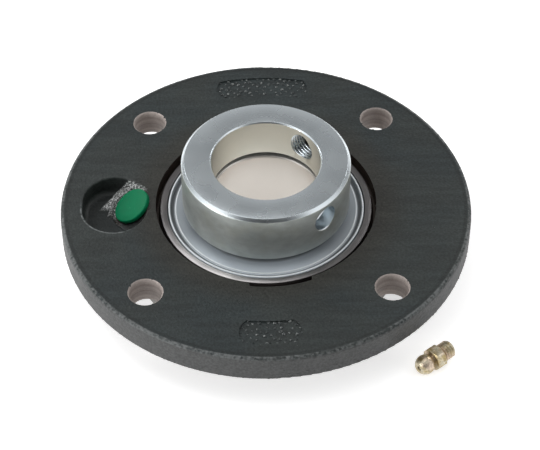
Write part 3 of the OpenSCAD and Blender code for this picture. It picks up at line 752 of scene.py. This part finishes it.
thread = screw_thread()
collar_finish = zinc_collar()
collar = turned("collar", filleted([
    (bore_r, collar_low, 0), (collar_r - 0.4, collar_low, 0.1), (collar_r, collar_low + 0.4, 0.1),
    (collar_r, collar_top - 1.0, 0.1), (collar_r - 1.0, collar_top, 0.1), (bore_r + 0.4, collar_top, 0.1),
    (bore_r, collar_top - 0.4, 0.1)], 2), collar_finish, steps=192)
recess = turned("recess", filleted([(0, collar_low - 1, 0), (recess_r, collar_low - 1, 0), (recess_r, recess_top, 0.3),
                                    (0, recess_top, 0)]), collar_finish,
                Matrix.Translation((recess_shift * math.cos(recess_angle), recess_shift * math.sin(recess_angle), 0)))
tapped = thread.grow("tapped hole", place=along_radius(screw_angle, 22.7), Radius=4.95 * mm, Depth=0.58 * mm,
                     Pitch=thread_pitch, Length=16 * mm, Chamfer=0.0, Sides=48, Rows=180, Material=tapped_zinc())
spanner = turned("spanner hole", filleted([(0, -2.64, 0), (4.4, 0, 0.2), (4.4, 4.2, 0), (5.2, 5.0, 0), (5.2, 8, 0),
                                           (0, 8, 0)]), drilled_zinc(), along_radius(spanner_angle, 22.9), 72)
carved(collar, "DIFFERENCE", recess, tapped, spanner)
collar.data.materials.append(oiled_zinc())
for face in collar.data.polygons:
    if math.hypot(face.center.x, face.center.y) < (bore_r + 0.15) * mm and abs(face.normal.z) < 0.3:
        face.material_index = len(collar.data.materials) - 1
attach(collar, "collar")
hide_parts("locking_collar")

# Set screw: a hardened grub screw with a cup point, screwed into the collar's tapped hole.
# It has black oxide on it and a hexagon socket in its outer end.
screw_middle = 25.5


def black_oxide():
    black = Finish("black_oxide", Metallic=0.6)
    wear = black.noise(0.8 * mm, 4)
    black.colour(black.mix(wear, srgb(34, 34, 36), srgb(66, 65, 64)))
    black.roughness(wear, 0.34, 0.5)
    return black.material


screw_finish = black_oxide()
screw_place = along_radius(screw_angle, screw_middle)
screw = thread.grow("grub_screw", place=screw_place, Radius=4.23 * mm, Depth=0.52 * mm, Pitch=thread_pitch,
                    Length=7 * mm, Chamfer=0.8 * mm, Sides=40, Rows=64, Material=screw_finish)
socket = turned("socket", filleted([(0, -0.3, 0), (2.309, -0.3, 0), (2.309, 5, 0), (0, 5, 0)]), screw_finish,
                screw_place, 6)
cup = turned("cup", filleted([(0, -2.44, 0), (2.125, -3.5, 0), (2.3, -4.4, 0), (0, -4.4, 0)]), screw_finish,
             screw_place, 32)
carved(screw, "DIFFERENCE", socket, cup)
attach(screw, "screw")
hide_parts("set_screw")

# Lubrication plug: moulded green polyethylene with a slightly crowned head.
# Its ribbed stem is pushed into the lubrication hole until the head meets the spot face.


def green_polyethylene():
    """Semi-gloss green with soft clouds, moulding swirls and a few pale scuffs."""
    green = Finish("green_polyethylene", Specular_IOR_Level=0.1)
    cloud = green.noise(3 * mm, 4)
    colour = green.mix(cloud, srgb(0, 100, 64), srgb(0, 116, 76))
    scuffs = green.step(green.noise(1.1 * mm, 3, (1, 2.6, 1)), 0.69, 0.75)
    green.colour(green.mix(green.times(scuffs, 0.35), colour, srgb(86, 170, 134)))
    green.roughness(cloud, 0.36, 0.5)
    green.bump((cloud, 0.04 * mm), (scuffs, 0.02 * mm))
    return green.material


stem_r, head_r, head_height = 2.85, 6.45, 1.5
ribs = [point for foot in (-4.3, -2.9, -1.5) for point in (
    (stem_r, foot, 0), (stem_r - 0.2, foot + 0.1, 0), (stem_r + 0.13, foot + 0.8, 0.05), (stem_r, foot + 0.9, 0))]
plug = turned("plug", filleted([(0, -7, 0), (2.3, -7, 0.2), (stem_r, -6.4, 0.2)] + ribs + [
    (stem_r, 0, 0.2), (head_r, 0, 0.13), (head_r, head_height - 0.07, 0.4), (4.0, head_height, 0.7),
    (0, head_height, 0)]), green_polyethylene(), plug_frame, 96)
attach(plug, "plug")
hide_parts("lube_plug")

# Grease nipple: turned yellow metal with a round head, a hexagon for the spanner and a short thread.
# It is supplied loose and lies beside the flange. A ball and spring inside close its mouth.
nipple_frame = (Matrix.Translation(Vector((48.93, -55.11, -9.3)) * mm)
                @ Matrix.Rotation(math.radians(38.2), 4, "Z") @ Matrix.Rotation(math.radians(90), 4, "Y"))


def yellow_brass():
    """Pale yellow metal with turning lines, pinkish where the plating is thin."""
    brass = Finish("yellow_brass", Metallic=0.9)
    cloud = brass.noise(2.6 * mm, 4)
    colour = brass.mix(brass.step(cloud, 0.35, 0.65), srgb(170, 152, 112), srgb(202, 194, 172))
    thin = brass.step(brass.noise(4.5 * mm, 2), 0.49, 0.63)
    colour = brass.mix(thin, colour, srgb(206, 188, 168))
    brass.colour(brass.shade(colour, brass.step(brass.noise(0.5 * mm, 3), 0.3, 0.7), 0.72, 1.25))
    brass.roughness(cloud, 0.36, 0.5)
    brass.bump((brass.noise(0.3 * mm), 0.01 * mm))
    return brass.material


brass_finish = yellow_brass()
ball_r, across_flats = 3.25, 7.2
head = [(ball_r * math.cos(math.radians(a)), ball_r * math.sin(math.radians(a)), 0) for a in range(-52, 46, 6)]
nipple = turned("nipple", filleted([(0, -2.6, 0), (1.95, -2.6, 0)] + head + [
    (2.25, 2.36, 0.1), (2.25, 3.2, 0), (2.45, 5.8, 0), (2.45, 6.6, 0), (0, 6.6, 0)]), brass_finish, nipple_frame, 64)
corner_r = across_flats / 2 / math.cos(math.radians(30))
hexagon = turned("hexagon", filleted([(0, 2.7, 0), (corner_r, 2.7, 0), (corner_r, 6.1, 0), (0, 6.1, 0)]), brass_finish,
                 nipple_frame @ Matrix.Rotation(math.radians(30), 4, "Z"), 6)
chamfers = turned("chamfers", filleted([(0, 2.45, 0), (3.2, 2.45, 0), (4.3, 3.3, 0.1), (4.3, 5.5, 0.1), (3.2, 6.35, 0),
                                        (0, 6.35, 0)]), brass_finish, nipple_frame, 96)
carved(hexagon, "INTERSECT", chamfers)
bolt_thread = thread.grow("bolt thread", place=nipple_frame @ Matrix.Translation((0, 0, 8.5 * mm)), Radius=3.0 * mm,
                          Depth=0.52 * mm, Pitch=1.0 * mm, Length=4.6 * mm, Chamfer=0.6 * mm, Sides=40, Rows=64,
                          Material=brass_finish)
carved(nipple, "UNION", hexagon, bolt_thread)
channel = turned("channel", filleted([(0, -3.6, 0), (0.9, -3.6, 0), (0.75, -2.4, 0), (0.75, -1.9, 0), (1.25, -1.9, 0),
                                      (1.25, 10.4, 0), (0.85, 10.4, 0), (0.85, 12, 0), (0, 12, 0)]), brass_finish,
                 nipple_frame, 48)
carved(nipple, "DIFFERENCE", channel)
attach(nipple, "housing")
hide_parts("nipple_body")
dress(ball_finish, "nipple_check_ball")
spring = smooth(piece_from("check_spring", welded("nipple_spring"), cage_finish))
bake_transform(spring)
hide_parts("nipple_spring")

# Studio: a pale floor under the spigot, wide soft light all around, a large lamp above and three small ones.
# The floor is white to the camera and in reflections, and keeps a soft shadow.
floor_height = -12.9 * mm
bpy.ops.mesh.primitive_plane_add(size=8, location=(0, 0, floor_height))
floor = bpy.context.object
floor.name = "floor"
paper = Finish("white_paper", Base_Color=(0.8, 0.8, 0.8, 1), Roughness=0.9)
ray = paper.tree.nodes.new("ShaderNodeLightPath").outputs
mirrored = paper.math("MAXIMUM", ray["Is Glossy Ray"], ray["Is Transmission Ray"])
seen = paper.math("MAXIMUM", ray["Is Camera Ray"], mirrored)
glow = paper.add("ShaderNodeEmission", {"Strength": paper.times(seen, 0.6)})
lit = paper.add("ShaderNodeAddShader", {0: paper.shader.outputs[0], 1: glow})
paper.put(paper.tree.nodes["Material Output"].inputs["Surface"], lit)
floor.data.materials.append(paper.material)

camera_eye = Vector((-10.234, -426.48, 443.32)) * mm
camera_target = Vector((1.272, -1.603, 0)) * mm
room = bpy.data.worlds.new("studio")
bpy.context.scene.world = room
room.use_nodes = True
light = Nodes(room.node_tree)
direction = light.add("ShaderNodeTexCoord", {}, "Generated")
sideways = light.add("ShaderNodeSeparateXYZ", {0: direction})
ahead = sideways.node.outputs[1]
behind_camera = (-0.02, -0.82, 0.57)
walls = light.ramp(ahead, -0.35, 0.6, 1.35, 0.25, "SMOOTHSTEP")
beyond = light.ramp(ahead, 0.7, 0.9, 0.0, 0.4, "SMOOTHSTEP")
opening = light.ramp(light.reach(direction, behind_camera), 0.58, 0.93, 1.0, 0.04, "SMOOTHSTEP")
sides = light.ramp(sideways, -0.9, 0.9, 1.15, 0.9)
walls = light.times(light.math("ADD", walls, beyond), sides)
ray = light.tree.nodes.new("ShaderNodeLightPath").outputs
light.put(light.tree.nodes["Background"].inputs["Strength"],
          light.math("MAXIMUM", ray["Is Camera Ray"], light.times(walls, opening)))
light.put(light.tree.nodes["Background"].inputs["Color"], (1, 1, 1, 1))


def softbox(name, place, size, power):
    lamp = bpy.data.lights.new(name, "AREA")
    lamp.size = size
    lamp.energy = power
    holder = bpy.data.objects.new(name, lamp)
    holder.location = place
    holder.rotation_euler = (-Vector(place)).to_track_quat("-Z", "Y").to_euler()
    bpy.context.scene.collection.objects.link(holder)


softbox("overhead", (-0.25, 0.15, 0.9), 0.7, 2.2)
softbox("low left", (-0.48, -0.33, 0.1), 0.3, 1.5)
softbox("far left", (-0.3, 0.26, 0.24), 0.15, 0.4)
softbox("far right", (0.3, 0.26, 0.24), 0.15, 0.4)

camera = bpy.data.objects.new("camera", bpy.data.cameras.new("camera"))
camera.data.sensor_width = 36
camera.data.lens = 123.2
camera.location = camera_eye
camera.rotation_euler = (camera_target - camera_eye).to_track_quat("-Z", "Y").to_euler()
bpy.context.scene.collection.objects.link(camera)
bpy.context.scene.camera = camera
bpy.context.scene.view_settings.view_transform = "Standard"
